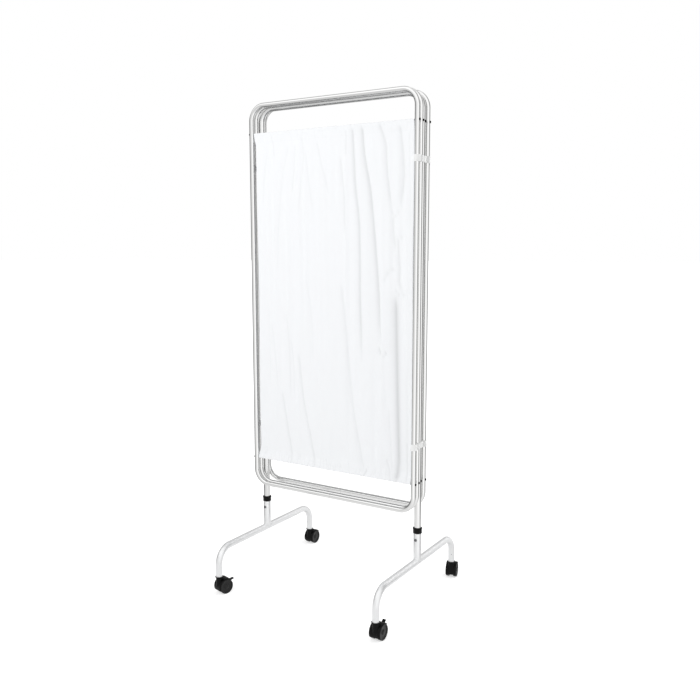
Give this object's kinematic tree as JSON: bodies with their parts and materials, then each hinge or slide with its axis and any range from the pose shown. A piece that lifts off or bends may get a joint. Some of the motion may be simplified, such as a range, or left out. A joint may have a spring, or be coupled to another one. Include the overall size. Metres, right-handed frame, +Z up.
{
  "type": "folding ward screen on castors",
  "caption": "Folding ward screen: curtained tube frames hinged edge to edge by clips, the base frame standing on arched feet with braked twin castors.",
  "frame": {"origin": "on the floor, at the middle of the folded screen's footprint", "axes": "+X to the right along the frames, +Y from the front wing to the rear wing, +Z up"},
  "size_m": [0.6558, 0.5966, 1.647],
  "materials": {
    "anodised_tube": "bright anodised",
    "silver_paint": "satin silver",
    "steel": "bright zinc",
    "black_plastic": "semi-matt moulded",
    "wheel_plastic": "semi-matt moulded",
    "clip_nylon": "translucent white nylon",
    "curtain_cloth": "matt woven"
  },
  "bodies": {
    "base": {"base_frame": "anodised_tube", "base_curtain": "curtain_cloth", "base_upper_wire": "black_plastic", "base_lower_wire": "black_plastic", "left_foot_tube": "silver_paint", "left_sleeve": "silver_paint", "left_collar": "black_plastic", "left_sleeve_screw": "steel", "right_foot_tube": "silver_paint", "right_sleeve": "silver_paint", "right_collar": "black_plastic", "right_sleeve_screw": "steel", "front_left_socket": "black_plastic", "front_right_socket": "black_plastic", "rear_left_socket": "black_plastic", "rear_right_socket": "black_plastic"},
    "middle_clips": {"middle_upper_clip": "clip_nylon", "middle_lower_clip": "clip_nylon"},
    "middle_wing": {"middle_wing_frame": "anodised_tube", "middle_curtain": "curtain_cloth", "middle_upper_wire": "black_plastic", "middle_lower_wire": "black_plastic"},
    "front_clips": {"front_upper_clip": "clip_nylon", "front_lower_clip": "clip_nylon"},
    "front_wing": {"front_wing_frame": "anodised_tube", "front_curtain": "curtain_cloth", "front_upper_wire": "black_plastic", "front_lower_wire": "black_plastic"},
    "rear_clips": {"rear_upper_clip": "clip_nylon", "rear_lower_clip": "clip_nylon"},
    "rear_wing": {"rear_wing_frame": "anodised_tube", "rear_curtain": "curtain_cloth", "rear_upper_wire": "black_plastic", "rear_lower_wire": "black_plastic"},
    "front_left_castor": {"front_left_hood": "black_plastic", "front_left_stem": "steel", "front_left_axle": "steel"},
    "front_left_left_wheel_body": {"front_left_left_wheel": "wheel_plastic"},
    "front_left_right_wheel_body": {"front_left_right_wheel": "wheel_plastic"},
    "front_right_castor": {"front_right_hood": "black_plastic", "front_right_stem": "steel", "front_right_axle": "steel"},
    "front_right_left_wheel_body": {"front_right_left_wheel": "wheel_plastic"},
    "front_right_right_wheel_body": {"front_right_right_wheel": "wheel_plastic"},
    "rear_left_castor": {"rear_left_hood": "black_plastic", "rear_left_stem": "steel", "rear_left_axle": "steel"},
    "rear_left_left_wheel_body": {"rear_left_left_wheel": "wheel_plastic"},
    "rear_left_right_wheel_body": {"rear_left_right_wheel": "wheel_plastic"},
    "rear_right_castor": {"rear_right_hood": "black_plastic", "rear_right_stem": "steel", "rear_right_axle": "steel"},
    "rear_right_left_wheel_body": {"rear_right_left_wheel": "wheel_plastic"},
    "rear_right_right_wheel_body": {"rear_right_right_wheel": "wheel_plastic"},
    "front_left_pedal": {"front_left_brake_pedal": "black_plastic"},
    "front_right_pedal": {"front_right_brake_pedal": "black_plastic"}
  },
  "joints": [
    {"name": "middle_clips_turn", "type": "hinge", "parent": "base", "child": "middle_clips", "pos_m": [-0.307, -0.0158, 0.991], "axis": [0, 0, -1], "range_deg": [0, 75]},
    {"name": "middle_wing_fold", "type": "hinge", "parent": "middle_clips", "child": "middle_wing", "pos_m": [-0.314, -0.0388, 0.991], "axis": [0, 0, -1], "range_deg": [0, 105]},
    {"name": "front_clips_turn", "type": "hinge", "parent": "middle_wing", "child": "front_clips", "pos_m": [0.314, -0.0388, 0.991], "axis": [0, 0, 1], "range_deg": [0, 90]},
    {"name": "front_wing_fold", "type": "hinge", "parent": "front_clips", "child": "front_wing", "pos_m": [0.314, -0.0618, 0.991], "axis": [0, 0, 1], "range_deg": [0, 90]},
    {"name": "rear_clips_turn", "type": "hinge", "parent": "base", "child": "rear_clips", "pos_m": [0.307, -0.0158, 0.991], "axis": [0, 0, -1], "range_deg": [0, 75]},
    {"name": "rear_wing_fold", "type": "hinge", "parent": "rear_clips", "child": "rear_wing", "pos_m": [0.314, 0.0072, 0.991], "axis": [0, 0, -1], "range_deg": [0, 105]},
    {"name": "front_left_swivel", "type": "hinge", "parent": "base", "child": "front_left_castor", "pos_m": [-0.307, -0.2838, 0.0574], "axis": [0, 0, 1], "continuous": true},
    {"name": "front_left_left_wheel_spin", "type": "hinge", "parent": "front_left_castor", "child": "front_left_left_wheel_body", "pos_m": [-0.30234, -0.26641, 0.025], "axis": [0.9659, -0.2588, 0], "continuous": true},
    {"name": "front_left_right_wheel_spin", "type": "hinge", "parent": "front_left_castor", "child": "front_left_right_wheel_body", "pos_m": [-0.30234, -0.26641, 0.025], "axis": [0.9659, -0.2588, 0], "continuous": true},
    {"name": "front_right_swivel", "type": "hinge", "parent": "base", "child": "front_right_castor", "pos_m": [0.307, -0.2838, 0.0574], "axis": [0, 0, 1], "continuous": true},
    {"name": "front_right_left_wheel_spin", "type": "hinge", "parent": "front_right_castor", "child": "front_right_left_wheel_body", "pos_m": [0.307, -0.2658, 0.025], "axis": [1, 0, 0], "continuous": true},
    {"name": "front_right_right_wheel_spin", "type": "hinge", "parent": "front_right_castor", "child": "front_right_right_wheel_body", "pos_m": [0.307, -0.2658, 0.025], "axis": [1, 0, 0], "continuous": true},
    {"name": "rear_left_swivel", "type": "hinge", "parent": "base", "child": "rear_left_castor", "pos_m": [-0.307, 0.2522, 0.0574], "axis": [0, 0, 1], "continuous": true},
    {"name": "rear_left_left_wheel_spin", "type": "hinge", "parent": "rear_left_castor", "child": "rear_left_left_wheel_body", "pos_m": [-0.307, 0.2702, 0.025], "axis": [1, 0, 0], "continuous": true},
    {"name": "rear_left_right_wheel_spin", "type": "hinge", "parent": "rear_left_castor", "child": "rear_left_right_wheel_body", "pos_m": [-0.307, 0.2702, 0.025], "axis": [1, 0, 0], "continuous": true},
    {"name": "rear_right_swivel", "type": "hinge", "parent": "base", "child": "rear_right_castor", "pos_m": [0.307, 0.2522, 0.0574], "axis": [0, 0, 1], "continuous": true},
    {"name": "rear_right_left_wheel_spin", "type": "hinge", "parent": "rear_right_castor", "child": "rear_right_left_wheel_body", "pos_m": [0.30234, 0.26959, 0.025], "axis": [0.9659, 0.2588, 0], "continuous": true},
    {"name": "rear_right_right_wheel_spin", "type": "hinge", "parent": "rear_right_castor", "child": "rear_right_right_wheel_body", "pos_m": [0.30234, 0.26959, 0.025], "axis": [0.9659, 0.2588, 0], "continuous": true},
    {"name": "front_left_brake", "type": "hinge", "parent": "front_left_castor", "child": "front_left_pedal", "pos_m": [-0.2966, -0.24498, 0.03817], "axis": [0.9659, -0.2588, 0], "range_deg": [0, 25]},
    {"name": "front_right_brake", "type": "hinge", "parent": "front_right_castor", "child": "front_right_pedal", "pos_m": [0.307, -0.24361, 0.03817], "axis": [1, 0, 0], "range_deg": [-25, 0]}
  ]
}
